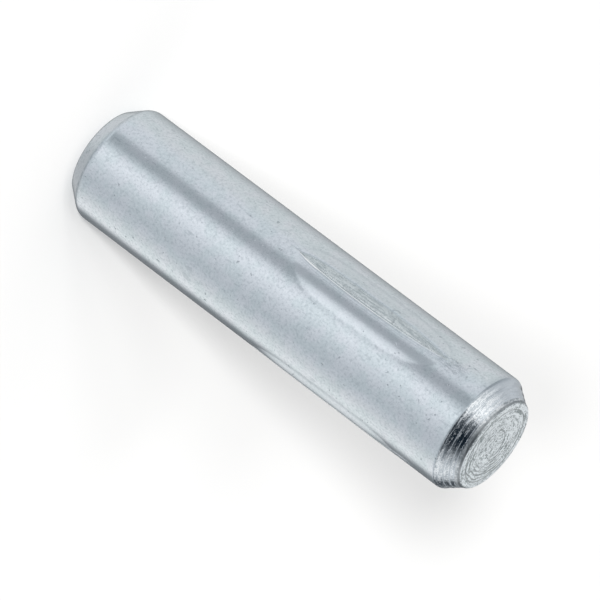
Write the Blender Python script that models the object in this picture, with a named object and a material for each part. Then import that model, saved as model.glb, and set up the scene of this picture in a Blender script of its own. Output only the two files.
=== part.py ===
"""Grooved pin: a turned steel pin with three longitudinal grooves pressed into one half.

The pin is a solid round bar, 3/8 inch by 1 1/2 inch, with a chamfer at each end. Three hardened tools
press a boat-shaped V groove into it, at equal angles. Each groove starts at mid-length and stops short
of the upper end, which leaves a plain pilot there. The metal that a tool pushes aside rises as a lip on
both sides of its groove, and those lips are what wedge the pin in a drilled hole.

The pin stands on its lower end, with its axis on +Z and the origin at the centre of that end. The first
groove faces -Y. The body is a loft through its cross-sections, because the turned ones are round and the
pressed ones are lobed and notched. Every cross-section has the same number of points: they crowd round
each groove, and they follow the edges of its mouth and the foot of its lips, which both widen and narrow.
"""

import math

import bmesh
import bpy
from mathutils import Vector

MM = 0.001

# The bar.
PIN_DIAMETER = 9.525 * MM
PIN_LENGTH = 38.1 * MM

# Lower end: a chamfer with a well rounded edge, down to the flat end face.
LOWER_CHAMFER_LENGTH = 1.42 * MM
LOWER_CHAMFER_DROP = 1.07 * MM
LOWER_EASING = 0.29 * MM

# Upper end: a crisper chamfer, then the narrow, steeper land that parting-off leaves round the end face.
UPPER_CHAMFER_LENGTH = 1.15 * MM
UPPER_CHAMFER_DROP = 0.9 * MM
SHOULDER_EASING = 0.12 * MM
LAND_LENGTH = 0.33 * MM
LAND_TAPER = 0.13 * MM
RIM_EASING = 0.1 * MM

# The pressed grooves. Width is from lip to lip at the middle, and the angle is the tool's.
GROOVE_COUNT = 3
FIRST_GROOVE_ANGLE = math.radians(-90)
PILOT_LENGTH = 5.35 * MM
GROOVE_LENGTH = 14.1 * MM
GROOVE_WIDTH = 1.06 * MM
GROOVE_ANGLE = math.radians(97)
ROOT_WIDTH = 0.06 * MM

# The displaced metal: its height along the edge of the mouth, and how far from the centre line it ends.
LIP_HEIGHT = 0.17 * MM
LIP_REACH = 2.34 * MM

# Powers that shape a groove from tip to tip: the mouth is a slim boat, and the lips fill out sooner.
MOUTH_BLUNTNESS = 2.6
MOUTH_ROUNDNESS = 0.8
LIP_BLUNTNESS = 4.0
REACH_ROUNDNESS = 0.5
CREST_ROUNDNESS = 0.8

# How finely the surface is divided.
EASING_STEPS = 3
GROOVE_STATIONS = 28
WALL_COLUMNS = 2
LIP_COLUMNS = 6
PLAIN_COLUMNS = 7
NARROWEST_MOUTH = 0.1 * MM
NARROWEST_REACH = 1.3 * MM

RADIUS = PIN_DIAMETER / 2
GROOVE_PITCH = 2 * math.pi / GROOVE_COUNT
GROOVE_TOP = PIN_LENGTH - PILOT_LENGTH
GROOVE_MIDDLE = GROOVE_TOP - GROOVE_LENGTH / 2


def clear_scene():
    for obj in list(bpy.data.objects):
        bpy.data.objects.remove(obj)


def eased(before, corner, after, setback):
    """A short curve in place of the corner, from setback before it to setback after it."""
    start = corner + (before - corner).normalized() * setback
    end = corner + (after - corner).normalized() * setback
    shares = [step / EASING_STEPS for step in range(EASING_STEPS + 1)]
    return [start.lerp(corner, share).lerp(corner.lerp(end, share), share) for share in shares]


def lower_profile():
    """Profile of the lower end, as (radius, height), from its flat face up to the full bar."""
    face_edge = Vector((RADIUS - LOWER_CHAMFER_DROP, 0))
    shoulder = Vector((RADIUS, LOWER_CHAMFER_LENGTH))
    bar = Vector((RADIUS, GROOVE_MIDDLE))
    return [face_edge, *eased(face_edge, shoulder, bar, LOWER_EASING)]


def upper_profile():
    """Profile of the upper end, as (radius, height), from the full bar up to its flat face."""
    bar = Vector((RADIUS, GROOVE_MIDDLE))
    land_foot = Vector((RADIUS - UPPER_CHAMFER_DROP, PIN_LENGTH - LAND_LENGTH))
    shoulder = Vector((RADIUS, land_foot.y - UPPER_CHAMFER_LENGTH))
    rim = Vector((land_foot.x - LAND_TAPER, PIN_LENGTH))
    face_middle = Vector((0, PIN_LENGTH))
    shoulder_curve = eased(bar, shoulder, land_foot, SHOULDER_EASING)
    rim_curve = eased(land_foot, rim, face_middle, RIM_EASING)
    return [*shoulder_curve, land_foot, *rim_curve]


def grooved_profile():
    """The bar along the grooves, as (radius, height), with its stations closer together at their tips."""
    turns = [math.pi * station / GROOVE_STATIONS for station in range(GROOVE_STATIONS + 1)]
    return [Vector((RADIUS, GROOVE_MIDDLE - math.cos(turn) * GROOVE_LENGTH / 2)) for turn in turns]


def fullness(height, bluntness, roundness):
    """1 at the middle of a groove, and 0 at its tips and past them."""
    place = abs(height - GROOVE_MIDDLE) / (GROOVE_LENGTH / 2)
    return max(0.0, 1 - place**bluntness) ** roundness


def half_mouth(height):
    """Distance round the bar from a groove's centre line to the edge of its mouth."""
    return GROOVE_WIDTH / 2 * fullness(height, MOUTH_BLUNTNESS, MOUTH_ROUNDNESS)


def lip_reach(height):
    """Distance round the bar from a groove's centre line to the foot of its lips."""
    return LIP_REACH * fullness(height, LIP_BLUNTNESS, REACH_ROUNDNESS)


def lip_rise(distance, height):
    """How far a lip stands above the bar: level along the mouth, then falling to a definite foot."""
    mouth = half_mouth(height)
    reach = lip_reach(height)
    if distance >= reach:
        return 0.0
    crest = LIP_HEIGHT * fullness(height, LIP_BLUNTNESS, CREST_ROUNDNESS)
    share = max(distance - mouth, 0.0) / (reach - mouth)
    return crest * math.cos(math.pi / 2 * share)


def groove_fall(distance, height):
    """How far the wall of the V lies below the edge of its mouth, with a root rounded like the tool."""
    mouth = half_mouth(height)
    if distance >= mouth:
        return 0.0
    run = math.hypot(mouth, ROOT_WIDTH) - math.hypot(distance, ROOT_WIDTH)
    return run / math.tan(GROOVE_ANGLE / 2)


def swell(distance, height):
    """How far the pressed surface stands above the turned bar; below it inside a groove."""
    return lip_rise(distance, height) - groove_fall(distance, height)


def spread(start, end, count):
    """Equal steps from start to end, without start itself."""
    return [start + (end - start) * step / count for step in range(1, count + 1)]


def column_distances(height):
    """Where the columns of points lie on one side of a groove, as distances from its centre line."""
    mouth = max(half_mouth(height), NARROWEST_MOUTH / 2)
    foot = max(lip_reach(height), NARROWEST_REACH)
    wall = spread(0.0, mouth, WALL_COLUMNS)
    lip = spread(mouth, foot, LIP_COLUMNS)
    plain = spread(foot, RADIUS * GROOVE_PITCH / 2, PLAIN_COLUMNS)
    return [0.0, *wall, *lip, *plain]


def cross_section(radius, height):
    """The points of one section through the pin, in order round it."""
    side = column_distances(height)
    offsets = [-distance for distance in side[-2:0:-1]] + side
    points = []
    for groove in range(GROOVE_COUNT):
        centre_line = FIRST_GROOVE_ANGLE + groove * GROOVE_PITCH
        for offset in offsets:
            angle = centre_line + offset / RADIUS
            reach = radius + swell(abs(offset), height)
            points.append((reach * math.cos(angle), reach * math.sin(angle), height))
    return points


def loft(name, sections):
    """A closed solid through the sections, with a flat face on the first and on the last."""
    shape = bmesh.new()
    rings = [[shape.verts.new(point) for point in points] for points in sections]
    for lower, upper in zip(rings, rings[1:]):
        for column in range(len(lower)):
            previous = column - 1
            shape.faces.new((lower[previous], lower[column], upper[column], upper[previous]))
    shape.faces.new(reversed(rings[0]))
    shape.faces.new(rings[-1])
    mesh = bpy.data.meshes.new(name)
    shape.to_mesh(mesh)
    shape.free()
    mesh.shade_smooth()
    mesh.set_sharp_from_angle(angle=math.radians(25))
    return bpy.data.objects.new(name, mesh)


def zinc_plate():
    """Bright zinc plating on steel: a bluish light grey with a soft shine."""
    material = bpy.data.materials.new("zinc_plate")
    material.use_nodes = True
    shader = material.node_tree.nodes["Principled BSDF"]
    shader.inputs["Base Color"].default_value = (0.60, 0.65, 0.69, 1.0)
    shader.inputs["Metallic"].default_value = 1.0
    shader.inputs["Roughness"].default_value = 0.32
    return material


def grooved_pin():
    profile = lower_profile() + grooved_profile() + upper_profile()
    pin = loft("grooved_pin", [cross_section(radius, height) for radius, height in profile])
    pin.data.materials.append(zinc_plate())
    return pin


def main():
    clear_scene()
    collection = bpy.data.collections.new("Grooved pin")
    bpy.context.scene.collection.children.link(collection)
    collection.objects.link(grooved_pin())


main()
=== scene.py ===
"""The grooved pin as it looks: zinc-plated steel, standing on its plain end in a soft studio light."""

import math

import bpy
import numpy as np
from mathutils import Matrix, Vector, noise


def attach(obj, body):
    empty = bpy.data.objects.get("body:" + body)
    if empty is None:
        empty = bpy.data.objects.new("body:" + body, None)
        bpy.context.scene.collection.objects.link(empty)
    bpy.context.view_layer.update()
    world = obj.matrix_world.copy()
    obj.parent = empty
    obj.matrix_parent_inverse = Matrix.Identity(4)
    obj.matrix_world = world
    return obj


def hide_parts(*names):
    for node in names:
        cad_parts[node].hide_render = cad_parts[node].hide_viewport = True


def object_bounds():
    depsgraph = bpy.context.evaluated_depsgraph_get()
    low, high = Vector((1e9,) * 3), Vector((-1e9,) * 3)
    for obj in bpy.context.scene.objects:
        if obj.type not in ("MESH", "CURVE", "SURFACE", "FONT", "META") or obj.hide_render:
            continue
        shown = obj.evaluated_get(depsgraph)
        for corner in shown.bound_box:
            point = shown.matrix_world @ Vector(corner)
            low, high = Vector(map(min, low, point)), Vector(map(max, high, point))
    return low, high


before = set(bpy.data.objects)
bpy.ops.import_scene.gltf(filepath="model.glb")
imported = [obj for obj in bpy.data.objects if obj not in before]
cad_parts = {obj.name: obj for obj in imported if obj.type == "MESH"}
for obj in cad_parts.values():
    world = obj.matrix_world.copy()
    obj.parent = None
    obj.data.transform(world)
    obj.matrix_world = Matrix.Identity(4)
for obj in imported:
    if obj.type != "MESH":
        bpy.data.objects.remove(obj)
cad_low, cad_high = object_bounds()


# The bar as it is turned.
# One length of round steel bar, chamfered at both ends and parted off. The tool's round nose leaves
# shallow hollows with ridges between them on the upper chamfer.
MM = 0.001
PIN_LENGTH = cad_high.z
PIN_RADIUS = cad_high.y

# A distance too small to matter, for telling places apart.
HAIR = 0.001 * MM

LOWER_CHAMFER_LENGTH = 1.35 * MM
LOWER_CHAMFER_DROP = 1.04 * MM
LOWER_EASING = 0.29 * MM
UPPER_CHAMFER_LENGTH = 1.22 * MM
UPPER_CHAMFER_DROP = 0.9 * MM
SHOULDER_EASING = 0.14 * MM
LAND_LENGTH = 0.37 * MM
LAND_TAPER = 0.18 * MM
RIM_EASING = 0.1 * MM

# Where the ridges lie, as shares of the way down the chamfer, and the radius of the tool's nose.
CHAMFER_RIDGES = (0.0, 0.05, 0.25, 0.56, 1.0)
CHAMFER_NOSE = 1.6 * MM

PILOT_LENGTH = 5.35 * MM
GROOVE_LENGTH = 14.1 * MM
GROOVE_TOP = PIN_LENGTH - PILOT_LENGTH
GROOVE_BOTTOM = GROOVE_TOP - GROOVE_LENGTH
GROOVE_MIDDLE = GROOVE_TOP - GROOVE_LENGTH / 2

LAND_RADIUS = PIN_RADIUS - UPPER_CHAMFER_DROP
FACE_RADIUS = LAND_RADIUS - LAND_TAPER - RIM_EASING
SHOULDER_HEIGHT = PIN_LENGTH - LAND_LENGTH - UPPER_CHAMFER_LENGTH

# How finely the mesh is divided, round the pin and along its profile.
COLUMNS = 330
FACE_STEPS = 90
RIM_STEPS = 5
CHAMFER_STEPS = 48
EASING_STEPS = 6
PLAIN_STEPS = 8
GROOVE_STEPS = 96


def run(start, end, count):
    """Equal steps from start to end, without start itself."""
    return [start.lerp(end, step / count) for step in range(1, count + 1)]


def eased(before, corner, after, setback, count):
    """A short curve in place of a corner."""
    start = corner + (before - corner).normalized() * setback
    end = corner + (after - corner).normalized() * setback
    shares = [step / count for step in range(count + 1)]
    return [start.lerp(corner, share).lerp(corner.lerp(end, share), share) for share in shares]


def turned(start, end, ridges, nose, count):
    """Steps from start to end, hollowed between the ridges that a round-nosed tool leaves."""
    along = end - start
    inward = Vector((along.y, -along.x)).normalized()
    points = []
    for step in range(1, count + 1):
        share = step / count
        before = max(ridge for ridge in ridges if ridge <= share)
        after = min(ridge for ridge in ridges if ridge >= share)
        depth = (share - before) * (after - share) * along.length_squared / (2 * nose)
        points.append(start + along * share + inward * depth)
    return points


def beside_grooves(count):
    """The profile's points along the grooves, which lie closer together towards their tips."""
    points = []
    for step in range(1, count + 1):
        place = 1 - 2 * step / count
        crowded = 0.6 * place + 0.4 * math.sin(math.pi / 2 * place)
        points.append(Vector((PIN_RADIUS, GROOVE_MIDDLE + GROOVE_LENGTH / 2 * crowded)))
    return points


def bar_profile():
    """The bar's profile as (radius, height), from the middle of the upper end to that of the lower."""
    top_centre = Vector((0, PIN_LENGTH))
    rim = Vector((LAND_RADIUS - LAND_TAPER, PIN_LENGTH))
    land_foot = Vector((LAND_RADIUS, PIN_LENGTH - LAND_LENGTH))
    shoulder = Vector((PIN_RADIUS, SHOULDER_HEIGHT))
    groove_top = Vector((PIN_RADIUS, GROOVE_TOP))
    lower_shoulder = Vector((PIN_RADIUS, LOWER_CHAMFER_LENGTH))
    lower_rim = Vector((PIN_RADIUS - LOWER_CHAMFER_DROP, 0))

    rim_curve = eased(top_centre, rim, land_foot, RIM_EASING, RIM_STEPS)
    shoulder_curve = eased(land_foot, shoulder, groove_top, SHOULDER_EASING, EASING_STEPS)
    lower_curve = eased(groove_top, lower_shoulder, lower_rim, LOWER_EASING, EASING_STEPS)

    points = [top_centre]
    points += run(top_centre, rim_curve[0], FACE_STEPS)
    points += rim_curve[1:]
    points += run(rim_curve[-1], land_foot, RIM_STEPS)
    points += turned(land_foot, shoulder_curve[0], CHAMFER_RIDGES, CHAMFER_NOSE, CHAMFER_STEPS)
    points += shoulder_curve[1:]
    points += run(shoulder_curve[-1], groove_top, PLAIN_STEPS)
    points += beside_grooves(GROOVE_STEPS)
    points += run(points[-1], lower_curve[0], PLAIN_STEPS)
    points += lower_curve[1:]
    points += run(lower_curve[-1], lower_rim, EASING_STEPS)
    points += run(lower_rim, Vector((0, 0)), PLAIN_STEPS)
    return points


bpy.ops.object.select_all(action="DESELECT")
bpy.ops.mesh.primitive_plane_add(size=2 * MM, location=(0, 0, PIN_LENGTH))
pin = bpy.context.object
pin.name = "plated_pin"
bpy.ops.object.mode_set(mode="EDIT")
bpy.ops.mesh.merge(type="CENTER")
profile = bar_profile()
for before, after in zip(profile, profile[1:]):
    step = after - before
    bpy.ops.mesh.extrude_vertices_move(TRANSFORM_OT_translate={"value": (step.x, 0, step.y)})
bpy.ops.object.mode_set(mode="OBJECT")
bpy.ops.object.transform_apply(location=True)
lathe = pin.modifiers.new("lathe", "SCREW")
lathe.steps = COLUMNS
lathe.render_steps = COLUMNS
lathe.use_merge_vertices = True
lathe.merge_threshold = HAIR
bpy.ops.object.modifier_apply(modifier="lathe")
bpy.ops.object.mode_set(mode="EDIT")
bpy.ops.mesh.select_all(action="SELECT")
bpy.ops.mesh.normals_make_consistent(inside=False)
bpy.ops.object.mode_set(mode="OBJECT")
bpy.ops.object.shade_smooth()


# The crests between the turning marks of the upper chamfer.
# They are torn a little rougher than the hollows, and the finish paints a highlight along them.
CREST_WIDTH = 0.03


def read_points(piece):
    points = np.empty(len(piece.data.vertices) * 3)
    piece.data.vertices.foreach_get("co", points)
    return points.reshape(-1, 3)


def set_mark(piece, name, values):
    """Keeps a number for each point of the mesh, for the finish to read."""
    mark = piece.data.attributes.new(name, "FLOAT", "POINT")
    mark.data.foreach_set("value", values.astype(np.float32))


def bell(distance, width, power=2):
    """1 at no distance, falling to 0 on both sides; a higher power holds it near 1 for longer."""
    return np.exp(-((distance / width) ** power))


points = read_points(pin)
share_down = (PIN_LENGTH - LAND_LENGTH - points[:, 2]) / UPPER_CHAMFER_LENGTH
set_mark(pin, "crest", sum(bell(share_down - ridge, CREST_WIDTH) for ridge in CHAMFER_RIDGES[1:-1]))


# The rings of the upper end face.
# The parting tool chatters as it feeds towards the middle, so the rings wander and differ in depth.
# One deeper ring sets off a smoother band along the rim, and part of another one shows as a curl.
RING_PITCH = 0.31 * MM
RING_DEPTH = 0.011 * MM
RING_SHARE = 1 / 5.5
RING_WANDER = Vector((-0.1, 0.2)) * MM
CHATTER_WAVE = 1.25 * MM
FINE_CHATTER_WAVE = CHATTER_WAVE / 3
DEPTH_WAVE = MM / 0.7
DEEPER_SIDE = Vector((0.8, 0.6))
BAND_RADIUS = 3.12 * MM
BAND_DEPTH = 0.014 * MM
BAND_WIDTH = 0.05 * MM
CURL_CENTRE = Vector((0.41, -0.13)) * MM
CURL_RADIUS = 1.5 * MM
CURL_DEPTH = 0.018 * MM
FADE_WIDTH = 0.1 * MM
SHALLOW_RADIUS = 2 * MM


def roughly(points, wave):
    """Soft random values about 0 at the points, with features about one wave across."""
    return np.array([noise.noise(Vector(point) / wave) for point in points])


def tool_rings(points, radius):
    """The depth of the rings, which are shallower near the middle and outside the band."""
    fade = np.maximum(0, 1 - (radius / FACE_RADIUS) ** 2)
    from_centre = np.hypot(points[:, 0] - RING_WANDER.x * fade, points[:, 1] - RING_WANDER.y * fade)
    chatter = 0.8 * roughly(points, CHATTER_WAVE) + 0.5 * roughly(points, FINE_CHATTER_WAVE) * fade
    turn = from_centre / RING_PITCH + chatter
    across = turn - np.floor(turn) - 0.5
    lean = (points[:, 0] * DEEPER_SIDE.x + points[:, 1] * DEEPER_SIDE.y) / FACE_RADIUS
    strength = np.clip(0.65 + 0.6 * lean + 1.3 * roughly(points + 0.02, DEPTH_WAVE), 0.1, 1.6)
    inside_band = np.clip((BAND_RADIUS - radius) / FADE_WIDTH, 0.25, 1)
    off_middle = np.clip(radius / SHALLOW_RADIUS, 0.35, 1)
    return RING_DEPTH * bell(across, RING_SHARE) * strength * inside_band * off_middle


def curl(points):
    """The depth of the curl, an arc on the -X side of its own centre."""
    from_curl = points[:, :2] - np.array(CURL_CENTRE)
    distance = np.hypot(from_curl[:, 0], from_curl[:, 1])
    window = np.clip((-from_curl[:, 0] / distance - 0.4) / 0.15, 0, 1)
    return CURL_DEPTH * bell(distance - CURL_RADIUS, BAND_WIDTH) * window


def face_hollows(points):
    """How deep the tool has cut below the ridges of the upper end face."""
    radius = np.hypot(points[:, 0], points[:, 1])
    band = BAND_DEPTH * bell(radius - BAND_RADIUS, BAND_WIDTH)
    edge = np.clip((FACE_RADIUS - radius) / FADE_WIDTH, 0, 1)
    return (tool_rings(points, radius) + band + curl(points)) * edge


def write_points(piece, points):
    piece.data.vertices.foreach_set("co", points.ravel())
    piece.data.update()


on_face = (points[:, 2] > PIN_LENGTH - HAIR) & (np.hypot(points[:, 0], points[:, 1]) < FACE_RADIUS)
ring_depth = np.zeros(len(points))
ring_depth[on_face] = face_hollows(points[on_face])
points[:, 2] -= ring_depth
write_points(pin, points)
set_mark(pin, "ring_depth", ring_depth / MM)


# The pressed grooves.
# Three hard V tools are pressed into the bar at once. Each leaves a boat-shaped groove, and the steel
# that it pushes aside stands up as a swell on both sides, with a definite foot and a slight burr.
GROOVE_COUNT = 3
GROOVE_PITCH = 2 * math.pi / GROOVE_COUNT
FIRST_GROOVE_ANGLE = math.radians(-90)
GROOVE_WIDTH = 1.06 * MM
GROOVE_ANGLE = math.radians(97)
GROOVE_SKEW = 0.09 * MM
ROOT_WIDTH = 0.05 * MM
ROOT_OFFSET = 0.25
EDGE_WIDTH = 0.07 * MM
SOFT_EDGE_WIDTH = 0.14 * MM

# One lip of each groove is domed and the other runs up flat. At one groove the domed lip is lower and
# the flat one steeper.
ODD_GROOVE = 1
LIP_HEIGHT = 0.165 * MM
LOW_LIP_SHARE = 0.3
DOMED_LIP_REACH = 2.42 * MM
FLAT_LIP_REACH = 1.83 * MM
STEEP_LIP_REACH = 1.56 * MM
FLAT_LIP_POWER = 2
STEEP_LIP_POWER = 1.2

# Powers that shape a groove from tip to tip.
MOUTH_BLUNTNESS = 2.6
LOWER_MOUTH_BLUNTNESS = 5.0
MOUTH_ROUNDNESS = 0.8
LIP_BLUNTNESS = 4.0
REACH_ROUNDNESS = 0.5
CREST_ROUNDNESS = 0.8

# How many of the mesh's columns lie on one side of a groove, up to halfway to the next one, and how
# many of those lie on the wall, over its edge and on the lip. Near both ends they are evenly spaced.
SIDE_COLUMNS = COLUMNS / GROOVE_COUNT / 2
WALL_COLUMNS = 11
EDGE_COLUMNS = 6
LIP_COLUMNS = 20
NARROWEST_MOUTH = 0.12 * MM
NARROWEST_REACH = 1.3 * MM
HALFWAY = PIN_RADIUS * GROOVE_PITCH / 2
EVEN_BELOW = 3 * MM


def fullness(height, bluntness, roundness):
    """1 at the middle of a groove, and 0 at its tips and past them."""
    place = np.abs(height - GROOVE_MIDDLE) / (GROOVE_LENGTH / 2)
    return np.maximum(0, 1 - place**bluntness) ** roundness


def half_mouth(side, height):
    """From the centre line to the edge of the mouth; one side fills out sooner at the lower tip."""
    fuller = (side < 0) & (height < GROOVE_MIDDLE)
    bluntness = np.where(fuller, LOWER_MOUTH_BLUNTNESS, MOUTH_BLUNTNESS)
    return GROOVE_WIDTH / 2 * fullness(height, bluntness, MOUTH_ROUNDNESS)


def lip_reach(side, groove, height):
    """Distance from the centre line to the foot of the lip."""
    flat = np.where(groove == ODD_GROOVE, STEEP_LIP_REACH, FLAT_LIP_REACH)
    return np.where(side > 0, DOMED_LIP_REACH, flat) * fullness(height, LIP_BLUNTNESS, REACH_ROUNDNESS)


def lip_share(distance, side, groove, height):
    """0 at the edge of the mouth, and 1 at the foot of the lip."""
    mouth = half_mouth(side, height)
    width = np.maximum(lip_reach(side, groove, height) - mouth, HAIR)
    return np.clip((distance - mouth) / width, 0, 1)


def lip_rise(distance, side, groove, height):
    """How far a lip stands above the bar."""
    share = lip_share(distance, side, groove, height)
    domed = np.cos(np.pi / 2 * share)
    flat = (1 - share) ** np.where(groove == ODD_GROOVE, STEEP_LIP_POWER, FLAT_LIP_POWER)
    low = np.where((groove == ODD_GROOVE) & (side > 0), LOW_LIP_SHARE, 1)
    crest = LIP_HEIGHT * low * fullness(height, LIP_BLUNTNESS, CREST_ROUNDNESS)
    return crest * np.where(side > 0, domed, flat)


def groove_fall(distance, side, groove, height):
    """How far the V lies below the lips; the tool leans, so its root is nearer to one edge."""
    near, far = half_mouth(1, height), half_mouth(-1, height)
    mouth = (near + far) / 2
    root = ROOT_OFFSET * near
    past_root = side * distance - root
    wall = np.where(past_root > 0, near - root, far + root)
    from_root = np.abs(past_root) * mouth / np.maximum(wall, HAIR)
    crisp = (side > 0) | (groove == ODD_GROOVE)
    edge = np.where(crisp, EDGE_WIDTH, SOFT_EDGE_WIDTH) * mouth / (mouth + EDGE_WIDTH)
    inside = mouth - np.hypot(from_root, ROOT_WIDTH) + ROOT_WIDTH
    return (inside + np.hypot(inside, edge)) / 2 / math.tan(GROOVE_ANGLE / 2) * (mouth > 0)


def columns_at(column, side, groove, height):
    """Distance from a groove's centre line for the column with this number, counted from that line."""
    mouth = np.maximum(half_mouth(side, height), NARROWEST_MOUTH)
    foot = np.maximum(lip_reach(side, groove, height), NARROWEST_REACH)
    over_edge = WALL_COLUMNS + EDGE_COLUMNS
    knots = [0, WALL_COLUMNS, over_edge, over_edge + LIP_COLUMNS, SIDE_COLUMNS]
    places = [0 * mouth, mouth - EDGE_WIDTH, mouth + EDGE_WIDTH, foot, HALFWAY + 0 * mouth]
    distance = np.zeros_like(column)
    for left, right, start, end in zip(knots, knots[1:], places, places[1:]):
        between = (column >= left) & (column <= right)
        along = (column - left) / (right - left)
        distance = np.where(between, start + (end - start) * along, distance)
    return distance


def skew(height):
    """How far a groove's line runs off to one side, because the tool sits a hair out of line."""
    return -GROOVE_SKEW * np.clip((height - GROOVE_MIDDLE) / (GROOVE_LENGTH / 2), -1, 1)


def along_groove(height):
    """1 beside the grooves, fading to 0 towards both ends of the bar."""
    bar_top = SHOULDER_HEIGHT - SHOULDER_EASING
    above = (bar_top - height) / (bar_top - GROOVE_TOP)
    below = (height - EVEN_BELOW) / (GROOVE_BOTTOM - EVEN_BELOW)
    return np.clip(np.minimum(above, below), 0, 1)


def groove_places(points):
    """The nearest groove's number, the turn to its centre line, and the turn past that line."""
    turn = np.arctan2(points[:, 1], points[:, 0]) - FIRST_GROOVE_ANGLE
    pitches = np.round(turn / GROOVE_PITCH)
    return pitches % GROOVE_COUNT, pitches * GROOVE_PITCH, turn - pitches * GROOVE_PITCH


def press_grooves(points):
    """Moves the bar's points into the grooves and lips, and says where each lies from its groove."""
    groove, centre, turn = groove_places(points)
    height = points[:, 2]
    radius = np.hypot(points[:, 0], points[:, 1])
    side = np.where(turn < 0, -1, 1)
    even = np.abs(turn) * PIN_RADIUS
    crowded = columns_at(even / HALFWAY * SIDE_COLUMNS, side, groove, height)
    distance = even + (crowded - even) * along_groove(height)
    radius = radius + lip_rise(distance, side, groove, height)
    radius = radius - groove_fall(distance, side, groove, height)
    offset = side * distance + skew(height) * along_groove(height)
    angle = FIRST_GROOVE_ANGLE + centre + offset / PIN_RADIUS
    pressed = np.stack([radius * np.cos(angle), radius * np.sin(angle), height], axis=1)
    return pressed, distance, side, groove


on_bar = (np.hypot(points[:, 0], points[:, 1]) > PIN_RADIUS - HAIR) & (points[:, 2] < SHOULDER_HEIGHT)
bar_points, from_line, bar_side, bar_groove = press_grooves(points[on_bar])
points[on_bar] = bar_points
write_points(pin, points)


# What pressing has done to the surface.
# The tools rub the lips and polish them towards their feet, where a lighter painted sheen also lies, and
# the bar is scuffed past the grooves' upper tips. Painted shade lies along the feet of the flat lips and
# on the shoulder beside the first groove. The finish reads these from the mesh.
FOOT_WIDTH = 0.15 * MM
SIDE_FADE = 0.1 * MM
POLISH_START = 0.375
FLAT_LIP_POLISH = 0.4
SCUFF_HEIGHT = GROOVE_TOP + 0.5 * MM
SCUFF_LENGTH = 1.0 * MM
SCUFF_WIDTH = 0.5 * MM
SHOULDER_SHADE_WIDTH = 0.2 * MM
SHOULDER_SHADE_ANGLE = FIRST_GROOVE_ANGLE + math.radians(-14)
SHOULDER_SHADE_SPREAD = math.radians(21)

bar_height = bar_points[:, 2]
pressed = fullness(bar_height, LIP_BLUNTNESS, REACH_ROUNDNESS)
down_lip = lip_share(from_line, bar_side, bar_groove, bar_height)
polish_place = np.clip((down_lip - POLISH_START) / (1 - POLISH_START), 0, 1)
past_foot = from_line - lip_reach(bar_side, bar_groove, bar_height)


def mark_bar(name, values):
    marks = np.zeros(len(points))
    marks[on_bar] = values
    set_mark(pin, name, marks)


mark_bar("from_lip", (from_line - half_mouth(bar_side, bar_height)) / MM)
mark_bar("groove_side", np.clip(bar_side * from_line / SIDE_FADE, -1, 1))
mark_bar("pressed", pressed)
mark_bar("polished", np.sin(np.pi * polish_place) ** 0.5 * np.where(bar_side > 0, 1, FLAT_LIP_POLISH))
# Painted shade along the feet of the flat lips, where the swell meets the bar.
mark_bar("foot", bell(past_foot, FOOT_WIDTH) * pressed * (bar_side < 0))
mark_bar("scuffed", bell(bar_height - SCUFF_HEIGHT, SCUFF_LENGTH) * bell(from_line, SCUFF_WIDTH, 4))
# Painted shade along the shoulder beside the first groove.
along_shoulder = bell(points[:, 2] - SHOULDER_HEIGHT, SHOULDER_SHADE_WIDTH)
beside_groove = np.arctan2(points[:, 1], points[:, 0]) - SHOULDER_SHADE_ANGLE
set_mark(pin, "dull_shoulder", along_shoulder * bell(beside_groove, SHOULDER_SHADE_SPREAD, 4))


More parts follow.
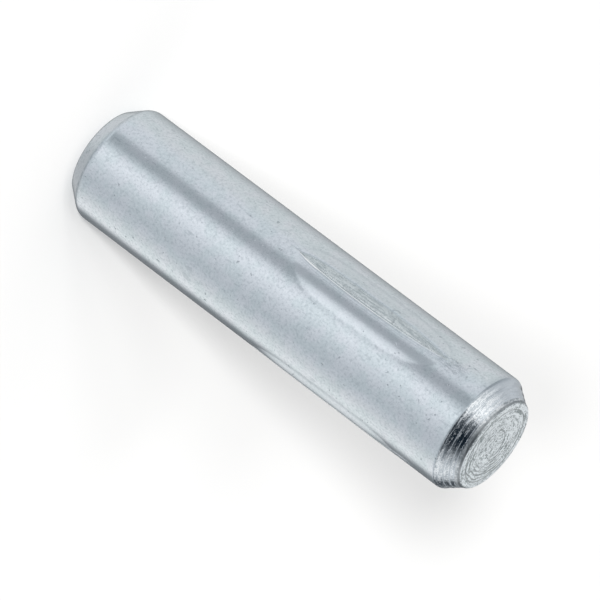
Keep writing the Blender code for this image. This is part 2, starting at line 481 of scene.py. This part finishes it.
# The plated finish.
# Bright zinc over the whole pin: a bluish light grey that is finely speckled, with tiny pits and a few
# handling scratches. It takes on the roughness of the steel below it, which differs from place to place.
class Field:
    """A value that varies over a surface: a node's output that can be used in arithmetic."""

    def __init__(self, tree, socket=None):
        self.tree = tree
        self.socket = socket

    def node(self, kind, settings=None, inputs=None, output=0):
        """One of a new node's outputs, with the node's settings made and its inputs set or linked."""
        made = self.tree.nodes.new(kind)
        for name, value in (settings or {}).items():
            if name == "stops":
                self.set_stops(made.color_ramp, value)
            else:
                setattr(made, name, value)
        for name, value in (inputs or {}).items():
            if isinstance(value, Field):
                self.tree.links.new(value.socket, made.inputs[name])
            else:
                made.inputs[name].default_value = value
        return Field(self.tree, made.outputs[output])

    def set_stops(self, ramp, stops):
        while len(ramp.elements) < len(stops):
            ramp.elements.new(1.0)
        for element, (place, value) in zip(ramp.elements, stops):
            element.position = place
            element.color = (value, value, value, 1)

    def math(self, operation, *others):
        inputs = dict(enumerate((self, *others)))
        return self.node("ShaderNodeMath", {"operation": operation}, inputs)

    def __add__(self, other):
        return self.math("ADD", other)

    __radd__ = __add__

    def __sub__(self, other):
        return self.math("SUBTRACT", other)

    def __rsub__(self, other):
        return self.math("MULTIPLY_ADD", -1.0, other)

    def __mul__(self, other):
        return self.math("MULTIPLY", other)

    __rmul__ = __mul__

    def __truediv__(self, other):
        return self.math("DIVIDE", other)

    def vector(self, operation, *others, output=0):
        inputs = dict(enumerate((self, *others)))
        return self.node("ShaderNodeVectorMath", {"operation": operation}, inputs, output)

    def stretched(self, x, y, z):
        return self.vector("MULTIPLY", (x, y, z))

    def dot(self, direction):
        return self.vector("DOT_PRODUCT", direction, output="Value")

    def length(self):
        return self.vector("LENGTH", output="Value")

    def height(self):
        """How far up this place lies, or this direction points."""
        return self.node("ShaderNodeSeparateXYZ", inputs={0: self}, output="Z")

    def upright(self):
        """An upright vector of this length."""
        return self.node("ShaderNodeCombineXYZ", inputs={2: self})

    def noise(self, scale, detail, roughness=0.5):
        inputs = {"Vector": self, "Scale": scale, "Detail": detail, "Roughness": roughness}
        return self.node("ShaderNodeTexNoise", inputs=inputs)

    def between(self, low, high, start=0.0, end=1.0):
        """This value taken from low..high to start..end, smoothly, and held there past both."""
        inputs = {0: self, 1: low, 2: high, 3: start, 4: end}
        return self.node("ShaderNodeMapRange", {"interpolation_type": "SMOOTHSTEP"}, inputs)

    def mixed(self, first, second):
        """The first colour where this value is 0, and the second where it is 1."""
        return self.node("ShaderNodeMix", {"data_type": "RGBA"}, {0: self, 6: first, 7: second}, 2)

    def mark(self, name):
        return self.node("ShaderNodeAttribute", {"attribute_name": name}, output=2)

    def bumped(self, relief, depth):
        return self.node("ShaderNodeBump", inputs={"Height": relief, "Distance": depth, "Strength": 1.0})


def colour(red, green, blue):
    return (red, green, blue, 1.0)


def new_finish(name):
    """A metal material, its shader, and the place on the pin in millimetres."""
    material = bpy.data.materials.new(name)
    material.use_nodes = True
    shader = material.node_tree.nodes["Principled BSDF"]
    shader.inputs["Metallic"].default_value = 1.0
    place = Field(material.node_tree).node("ShaderNodeTexCoord", output="Object")
    return material, shader, place.stretched(1 / MM, 1 / MM, 1 / MM)


def connect(field, shader, name):
    field.tree.links.new(field.socket, shader.inputs[name])


ZINC_COOL = colour(0.635, 0.712, 0.762)
ZINC_LILAC = colour(0.685, 0.738, 0.80)
# A duller grey for dull or scuffed zinc, also used for painted shade.
ZINC_DULL_AND_SHADE = colour(0.42, 0.477, 0.525)
ZINC_BRIGHT = colour(0.80, 0.86, 0.92)
# Near white, for the painted highlight along the burred lip edges.
BURNISHED_HIGHLIGHT = colour(0.95, 0.975, 1.0)
PIT_GREY = colour(0.26, 0.30, 0.34)
SCRATCH_GREY = colour(0.36, 0.405, 0.43)

BENT_SCRATCH_MIDDLE = (-0.3, -4.75, 27.35)
BENT_SCRATCH_RADIUS = 0.3


def scratch_arc(spot, way):
    """One half of the bent scratch: a thin arc that starts in its middle and bends up or down."""
    from_middle = spot.vector("SUBTRACT", BENT_SCRATCH_MIDDLE).stretched(1, 0.2, 1)
    away = from_middle.vector("SUBTRACT", (way * BENT_SCRATCH_RADIUS, 0, 0))
    past_ring = away.length() - BENT_SCRATCH_RADIUS
    ring = past_ring.between(0.09, 0.04) * past_ring.between(-0.10, -0.05)
    return ring * away.dot((way, 0, way)).between(-0.15, 0.05)


def bent_scratch(spot):
    """A small S-shaped scratch across the far edge of the first groove."""
    return scratch_arc(spot, -1) + scratch_arc(spot, 1)


def near_lower_tip(spot):
    """1 just above the grooves' lower tips, where the burr and its painted highlight are at their widest
    and brightest.
    """
    above_tip = spot.height() - GROOVE_BOTTOM / MM
    return above_tip.between(2.55, 1.65) * above_tip.between(0.25, 1.05)


def burr(spot):
    """How bright the painted highlight on the domed lips' burr is, and how high the burr stands; both
    are broken, and fade up the groove.
    """
    near_tip = near_lower_tip(spot)
    to_burr = spot.mark("from_lip") * near_tip.between(0.0, 1.0, 1.0, 0.7)
    past_middle = spot.height() - GROOVE_MIDDLE / MM
    highlight_level = 0.6 - past_middle.between(-0.2, 3.8, 0.0, 0.35) + near_tip * 0.3
    broken = spot.stretched(1, 1, 0.35).noise(1.6, 2.0).between(0.35, 0.55, 0.7, 1.0)
    on_lip = spot.mark("pressed").between(0.1, 0.5) * spot.mark("groove_side").between(0.0, 1.0)
    strength = on_lip * highlight_level * broken
    return to_burr.between(0.14, 0.07) * strength, to_burr.between(0.17, 0.10) * strength


def speckled_zinc(spot, speckle):
    """The plating as it comes from the bath, in two close tones under dark and light speckles."""
    clean = spot.noise(0.7, 2.0).between(0.38, 0.62).mixed(ZINC_COOL, ZINC_LILAC)
    dark = speckle.between(0.50, 0.34) * 0.42
    light = speckle.between(0.52, 0.66) * 0.35
    return light.mixed(dark.mixed(clean, ZINC_DULL_AND_SHADE), ZINC_BRIGHT)


def rubbed_lips(spot, tone):
    """Fine lines along the domed lips, 0.165 mm apart, and a slightly duller grey on the flat lips."""
    from_lip = spot.mark("from_lip")
    side = spot.mark("groove_side")
    pressed = spot.mark("pressed")
    lines = (from_lip * 38.0).math("SINE") * 0.5 + 0.5
    domed_lip = from_lip.between(0.65, 0.20) * from_lip.between(0.10, 0.20) * side.between(0.0, 1.0)
    tone = (lines * domed_lip * pressed * 0.55).mixed(tone, ZINC_DULL_AND_SHADE)
    flat_lip = from_lip.between(1.3, 1.1) * pressed * side.between(0.0, -1.0)
    return (flat_lip * 0.2).mixed(tone, ZINC_DULL_AND_SHADE)


# Painted shade on the shoulder beside the first groove.
def shaded_shoulder(spot, tone):
    return (spot.mark("dull_shoulder") * 0.62).mixed(tone, ZINC_DULL_AND_SHADE)


def shaded_lower_edge(spot, tone):
    """A broken, darker line along the edge of the lower chamfer: painted shade where the bar turns onto
    the chamfer.
    """
    above_edge = spot.height() - LOWER_CHAMFER_LENGTH / MM
    on_edge = above_edge.between(-0.25, -0.11) * above_edge.between(0.09, -0.05)
    line_breaks = spot.stretched(1, 1, 2).noise(2.6, 2.0).between(0.42, 0.60, 0.4, 1.0)
    return (on_edge * line_breaks * 0.9).mixed(tone, ZINC_DULL_AND_SHADE)


def plated_bar():
    material, shader, spot = new_finish("zinc_plated_bar")
    speckle = spot.noise(5.2, 3.0, 0.65)
    pits = spot.noise(2.9, 1.5, 0.5).between(0.715, 0.78)
    scratches = spot.stretched(1.0, 0.35, 0.22).noise(3.1, 1.0).between(0.70, 0.735)
    scuffs = spot.stretched(1, 1, 0.5).noise(3.5, 3.0, 0.7)
    scuffed = spot.mark("scuffed")
    polished = spot.mark("polished")
    burr_highlight, burr_height = burr(spot)

    tone = speckled_zinc(spot, speckle)
    # The polished parts of the lips are lighter: partly polish, partly a painted sheen.
    tone = (polished * 0.5).mixed(tone, ZINC_BRIGHT)
    # Painted shade along the feet of the flat lips.
    tone = (spot.mark("foot") * 0.42).mixed(tone, ZINC_DULL_AND_SHADE)
    tone = shaded_shoulder(spot, tone)
    tone = (pits * 0.5).mixed(tone, PIT_GREY)
    tone = (scratches * 0.4).mixed(tone, ZINC_DULL_AND_SHADE)
    tone = rubbed_lips(spot, tone)
    # A painted highlight along the burr, over lighter burnished metal.
    tone = burr_highlight.mixed(tone, BURNISHED_HIGHLIGHT)
    tone = (scuffed * scuffs.between(0.46, 0.58) * 0.8).mixed(tone, ZINC_DULL_AND_SHADE)
    tone = shaded_lower_edge(spot, tone)
    tone = (bent_scratch(spot) * 0.8).mixed(tone, ZINC_DULL_AND_SHADE)
    connect(tone, shader, "Base Color")

    rough = speckle.between(0.3, 0.7, 0.24, 0.19) + scuffed * 0.12 - polished * 0.07
    connect(rough, shader, "Roughness")
    relief = spot.noise(3.4, 3.0, 0.6) + scuffed * scuffs * 26.0 - pits * 3.0 + burr_height * 7.0
    connect(spot.bumped(relief, 0.005 * MM), shader, "Normal")
    return material


def pressed_wall():
    """The walls of the V, dragged along by the tool, one wall lighter than the other, with a painted
    highlight just inside the lighter wall's edge.
    """
    material, shader, spot = new_finish("zinc_plated_groove")
    streaks = spot.stretched(1, 1, 0.08).noise(10.0, 3.0, 0.65)
    marks = streaks * 0.65 + spot.noise(7.0, 3.0, 0.7) * 0.35
    side = spot.mark("groove_side")
    lighter_wall = side.between(-0.4, 1.0)
    dark = lighter_wall.mixed(colour(0.475, 0.535, 0.56), colour(0.635, 0.685, 0.71))
    light = lighter_wall.mixed(colour(0.68, 0.74, 0.765), colour(0.89, 0.94, 0.965))
    tone = marks.between(0.42, 0.57).mixed(dark, light)
    tone = (bent_scratch(spot) * 0.6).mixed(tone, SCRATCH_GREY)
    from_lip = spot.mark("from_lip")
    soft_edge = from_lip.between(-0.16, 0.0) * side.between(0.0, -1.0)
    tone = (soft_edge * 0.75).mixed(tone, ZINC_COOL)
    to_burr = from_lip * near_lower_tip(spot).between(0.0, 1.0, 1.0, 0.4)
    # A painted highlight just inside the lighter wall's edge, near the burr.
    wall_edge_highlight = to_burr.between(-0.07, -0.02) * spot.mark("pressed").between(0.1, 0.5) * lighter_wall
    tone = (wall_edge_highlight * 0.7).mixed(tone, BURNISHED_HIGHLIGHT)
    connect(tone, shader, "Base Color")
    connect(marks.between(0.35, 0.65, 0.42, 0.33), shader, "Roughness")
    connect(spot.bumped(marks, 0.04 * MM), shader, "Normal")
    return material


SMOOTH_SIDE = (-0.80, -0.60, 0.0)


def turned_chamfer():
    """Steel torn in streaks round the chamfer, cut smoother and painted lighter on one side, with a
    painted highlight along the crests.
    """
    material, shader, spot = new_finish("zinc_plated_turned")
    streaks = spot.stretched(0.12, 0.12, 1).noise(8.5, 3.0, 0.75)
    grain = spot.noise(6.0, 3.0, 0.7)
    smooth = spot.dot(SMOOTH_SIDE).between(2.2, 3.7)
    torn = smooth.between(0.0, 1.0, 1.0, 0.4)
    marks = (streaks * 0.6 + grain * 0.4 - 0.5) * torn + 0.5
    broken = spot.stretched(0.5, 0.5, 1).noise(4.0, 2.0).between(0.30, 0.45)
    crest = spot.mark("crest") * broken * torn
    tone = marks.between(0.42, 0.58).mixed(colour(0.47, 0.52, 0.56), colour(0.88, 0.92, 0.95))
    # The crests take a painted highlight, and one side of the chamfer is painted lighter.
    tone = (crest * 0.8 + smooth * 0.6).mixed(tone, ZINC_BRIGHT)
    tone = shaded_shoulder(spot, tone)
    connect(tone, shader, "Base Color")
    connect(marks.between(0.53, 0.61, 0.04, 0.44) + crest * 0.5, shader, "Roughness")
    connect(spot.bumped(marks, 0.028 * MM), shader, "Normal")
    return material


def parted_land():
    """The narrow land round the end face, with short streaks round it and a line of painted shade along
    its rim.
    """
    material, shader, spot = new_finish("zinc_plated_land")
    streaks = spot.stretched(0.2, 0.2, 1).noise(6.0, 3.0, 0.6)
    marks = streaks * 0.5 + spot.noise(5.0, 3.0, 0.7) * 0.5
    tone = marks.between(0.40, 0.60).mixed(colour(0.43, 0.475, 0.505), colour(0.94, 0.975, 1.0))
    below_face = PIN_LENGTH / MM - spot.height()
    rim_shade = below_face.between(0.22, 0.14)
    # Painted shade along the rim of the end face.
    tone = (rim_shade * 0.65).mixed(tone, colour(0.20, 0.22, 0.235))
    connect(tone, shader, "Base Color")
    shader.inputs["Roughness"].default_value = 0.36
    connect(spot.bumped(marks, 0.03 * MM), shader, "Normal")
    return material


def parted_face():
    """The end face, with fine strokes round it and painted shade in the valleys of its rings."""
    material, shader, spot = new_finish("zinc_plated_end")
    flat = spot.stretched(1, 1, 0)
    around = flat.vector("NORMALIZE").stretched(2.2, 2.2, 0)
    strokes = around.vector("ADD", (flat.length() * 5.0).upright()).noise(1.0, 3.0, 0.7)
    marks = strokes * 0.5 + spot.noise(7.0, 2.0, 0.75) * 0.5
    tone = marks.between(0.41, 0.53).mixed(colour(0.245, 0.29, 0.30), colour(0.91, 0.965, 0.99))
    ring_valley_shade = spot.mark("ring_depth").between(0.002, 0.008)
    # Painted shade in the valleys of the rings, darker where they are deeper.
    tone = (ring_valley_shade * 0.7).mixed(tone, colour(0.22, 0.25, 0.26))
    connect(tone, shader, "Base Color")
    shader.inputs["Roughness"].default_value = 0.28
    connect(spot.bumped(marks, 0.06 * MM), shader, "Normal")
    return material


BAR, WALL, CHAMFER, LAND, FACE = range(5)
for material in (plated_bar(), pressed_wall(), turned_chamfer(), parted_land(), parted_face()):
    pin.data.materials.append(material)


def finish_numbers(piece):
    """Which of the five finishes each face takes."""
    count = len(piece.data.polygons)
    middles = np.empty(count * 3)
    piece.data.polygons.foreach_get("center", middles)
    middles = middles.reshape(-1, 3)
    height = middles[:, 2]
    radius = np.hypot(middles[:, 0], middles[:, 1])
    _, _, turn = groove_places(middles)
    past_line = turn * PIN_RADIUS - skew(height)
    numbers = np.full(count, BAR, dtype=np.int32)
    numbers[np.abs(past_line) < half_mouth(past_line, height)] = WALL
    numbers[height > SHOULDER_HEIGHT] = CHAMFER
    numbers[height > PIN_LENGTH - LAND_LENGTH] = LAND
    numbers[(height > PIN_LENGTH - RIM_EASING) & (radius < LAND_RADIUS - LAND_TAPER)] = FACE
    return numbers


pin.data.polygons.foreach_set("material_index", finish_numbers(pin))
pin.data.update()

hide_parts("grooved_pin")
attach(pin, "root")


# The floor.
# A plain white sheet that keeps the pin's soft shadow.
FLOOR_RADIUS = 1.5

bpy.ops.object.select_all(action="DESELECT")
bpy.ops.mesh.primitive_circle_add(vertices=96, radius=FLOOR_RADIUS, fill_type="NGON")
floor = bpy.context.object
floor.name = "floor"
floor.visible_glossy = False
floor_paint = bpy.data.materials.new("floor_paint")
floor_paint.use_nodes = True
floor_shader = floor_paint.node_tree.nodes["Principled BSDF"]
floor_shader.inputs["Base Color"].default_value = colour(0.8, 0.793, 0.783)
floor_shader.inputs["Roughness"].default_value = 1.0
floor_shader.inputs["Specular IOR Level"].default_value = 0.0
floor.data.materials.append(floor_paint)


# The camera.
# A long lens, turned so that the standing pin lies across the picture as in the photograph.
CAMERA_AZIMUTH = math.radians(36.7)
CAMERA_ELEVATION = math.radians(23.11)
CAMERA_ROLL = math.radians(126.95)
CAMERA_DISTANCE = 98.80 * PIN_RADIUS
AIM_RIGHT = 0.0344 * PIN_RADIUS
AIM_UP = -0.0324 * PIN_RADIUS
LENS = 390.4
SENSOR_WIDTH = 36.0

sin_a, cos_a = math.sin(CAMERA_AZIMUTH), math.cos(CAMERA_AZIMUTH)
sin_e, cos_e = math.sin(CAMERA_ELEVATION), math.cos(CAMERA_ELEVATION)
back = Vector((sin_a * cos_e, -cos_a * cos_e, sin_e))
level_right = Vector((cos_a, sin_a, 0))
level_up = Vector((-sin_a * sin_e, cos_a * sin_e, cos_e))
right = level_right * math.cos(CAMERA_ROLL) + level_up * math.sin(CAMERA_ROLL)
up = level_up * math.cos(CAMERA_ROLL) - level_right * math.sin(CAMERA_ROLL)
middle = Vector((0, 0, PIN_LENGTH / 2))
eye = middle + right * AIM_RIGHT + up * AIM_UP + back * CAMERA_DISTANCE

bpy.ops.object.camera_add()
camera = bpy.context.object
camera.data.sensor_width = SENSOR_WIDTH
camera.data.lens = LENS
camera.data.clip_start = 0.01
camera.data.clip_end = 10.0
camera.matrix_world = Matrix.Translation(eye) @ Matrix((right, up, back)).transposed().to_4x4()
bpy.context.scene.camera = camera


# The studio.
# Pale walls all round, which the plating mirrors as soft bands, with a few dark gaps between them.
studio = bpy.data.worlds.new("studio")
studio.use_nodes = True
studio.cycles.sampling_method = "NONE"
bpy.context.scene.world = studio
studio_tree = studio.node_tree
studio_tree.nodes.clear()
start = Field(studio_tree)
towards = start.node("ShaderNodeTexCoord", output="Generated")
front = Vector((back.x, back.y, 0)).normalized()
ahead = towards.dot(tuple(front))
aside = towards.dot(tuple(level_right))
bearing = aside.math("ARCTAN2", ahead) / (2 * math.pi) + 0.5
elevation = towards.height().math("ARCSINE") / math.radians(1)


def bearings(*stops):
    """A ramp round the studio: (degrees from the camera towards its right, brightness) stops."""
    places = [(degrees / 360 + 0.5, value) for degrees, value in stops]
    return start.node("ShaderNodeValToRGB", {"stops": places}, {0: bearing})


low_walls = bearings(
    (-180, 0.10), (-172, 0.16), (-164, 0.36), (-153, 0.50), (-141, 0.62), (-123, 0.80), (-110, 0.83),
    (-75, 0.85), (-54, 0.83), (-47, 0.79), (-42, 0.455), (-27, 0.45), (-22.5, 0.52), (-20, 0.66),
    (-17, 0.79), (-12, 0.91), (-4, 1.06), (4, 1.05), (14, 0.95), (28, 0.80), (42, 0.70), (58, 0.63),
    (70, 0.68), (90, 0.81), (99, 0.9), (110, 1.0), (120, 1.07), (126, 0.98), (134, 0.5), (141, 0.24),
    (152, 0.22), (180, 0.16),
)
horizon = bearings(
    (-180, 0.6), (-160, 0.5), (-140, 0.52), (-112, 0.54), (-100, 0.5), (-70, 0.5), (-55, 0.6), (0, 0.7),
    (15, 0.5), (60, 0.5), (90, 0.65), (110, 0.7), (122, 0.5), (132, 0.2), (145, 0.08), (158, 0.1),
    (170, 0.5), (180, 0.6),
)
level_walls = bearings(
    (-180, 0.98), (-166, 0.9), (-152, 0.6), (-134, 0.6), (-119, 0.6), (-100, 0.5), (-75, 0.5),
    (-60, 0.55), (-45, 0.8), (-8, 0.8), (12, 0.42), (60, 0.33), (80, 0.5), (97, 0.7), (114, 0.9),
    (125, 0.88), (136, 0.6), (142, 0.12), (150, 0.1), (158, 0.4), (166, 0.9), (180, 0.98),
)
high_walls = bearings(
    (-180, 0.5), (-160, 0.5), (-140, 0.65), (-119, 0.64), (-100, 0.71), (-87, 0.84), (-74, 0.9),
    (-66, 1.08), (-48, 1.3), (-31, 1.22), (-27, 1.0), (-22, 0.5), (-16, 0.22), (-8, 0.15), (0, 0.10),
    (10, 0.05), (20, 0.02), (30, 0.01), (48, 0.01), (57, 0.02), (65, 0.06), (70, 0.2), (78, 0.29),
    (87, 0.44), (95, 0.66), (104, 0.88), (114, 0.95), (135, 0.8), (160, 0.5), (180, 0.5),
)
zenith = bearings(
    (-180, 0.5), (-90, 0.7), (-62, 1.0), (-24, 1.1), (-12, 0.8), (0, 0.7), (60, 0.65), (100, 0.6),
    (180, 0.5),
)
underneath = bearings(
    (-180, 0.72), (-150, 0.73), (-90, 0.8), (0, 0.75), (90, 0.62), (125, 0.58), (147, 0.53),
    (165, 0.65), (180, 0.72),
)

# Each row of walls gives way to the next one between two elevations, in degrees.
walls = elevation.between(-14, -7).mixed(low_walls, horizon)
walls = elevation.between(2, 9).mixed(walls, level_walls)
walls = elevation.between(21, 31).mixed(walls, high_walls)
walls = elevation.between(64, 76).mixed(walls, zenith)
walls = elevation.between(-30, -46).mixed(walls, underneath)

# Grey walls are slightly blue, and the ones low down beside and behind the pin are slightly warm.
greyness = walls.vector("MULTIPLY_ADD", (-1.0, -1.0, -1.0), (1.0, 1.0, 1.0))
blueness = walls.vector("MULTIPLY_ADD", (0.0, 0.04, 0.08), (0.0, 0.008, 0.018))
walls = greyness.vector("MULTIPLY_ADD", blueness, walls)
warm_side = ahead.between(0.35, -0.1) * elevation.between(-5, -15)
walls = walls.vector("MULTIPLY", warm_side.mixed(colour(1, 1, 1), colour(1, 0.985, 0.955)))

# The camera itself sees plain white.
to_camera = start.node("ShaderNodeLightPath", output="Is Camera Ray")
seen = to_camera.mixed(walls, colour(1, 1, 1))
background = start.node("ShaderNodeBackground", inputs={"Color": seen, "Strength": 1.0})
output = studio_tree.nodes.new("ShaderNodeOutputWorld")
connect(background, output, "Surface")


def add_lamp(name, bearing_degrees, elevation_degrees, spread_degrees, brightness):
    """A far lamp that brightens the floor by this much, so that the pin's shadow falls behind it."""
    bearing_angle = math.radians(bearing_degrees)
    rise_angle = math.radians(elevation_degrees)
    level = front * math.cos(bearing_angle) + level_right * math.sin(bearing_angle)
    direction = level * math.cos(rise_angle) + Vector((0, 0, math.sin(rise_angle)))
    bpy.ops.object.light_add(type="SUN", location=middle + direction * 0.6)
    lamp = bpy.context.object
    lamp.name = name
    lamp.rotation_euler = direction.to_track_quat("Z", "Y").to_euler()
    lamp.data.angle = math.radians(spread_degrees)
    lamp.data.energy = brightness * math.pi / math.sin(rise_angle)
    lamp.visible_glossy = False


# Three lamps are as low as the camera, so that their shadows show along the whole pin; two widen them.
# Each has its bearing, elevation and spread in degrees, and its brightness.
add_lamp("left_lamp", -3, 20.5, 4, 0.301)
add_lamp("right_lamp", 3, 19, 4, 0.170)
add_lamp("far_left_lamp", -5, 20.5, 4, 0.058)
add_lamp("middle_lamp", -12, 32, 9, 0.10)
add_lamp("high_lamp", -25, 45, 9, 0.076)

bpy.context.scene.view_settings.view_transform = "Standard"
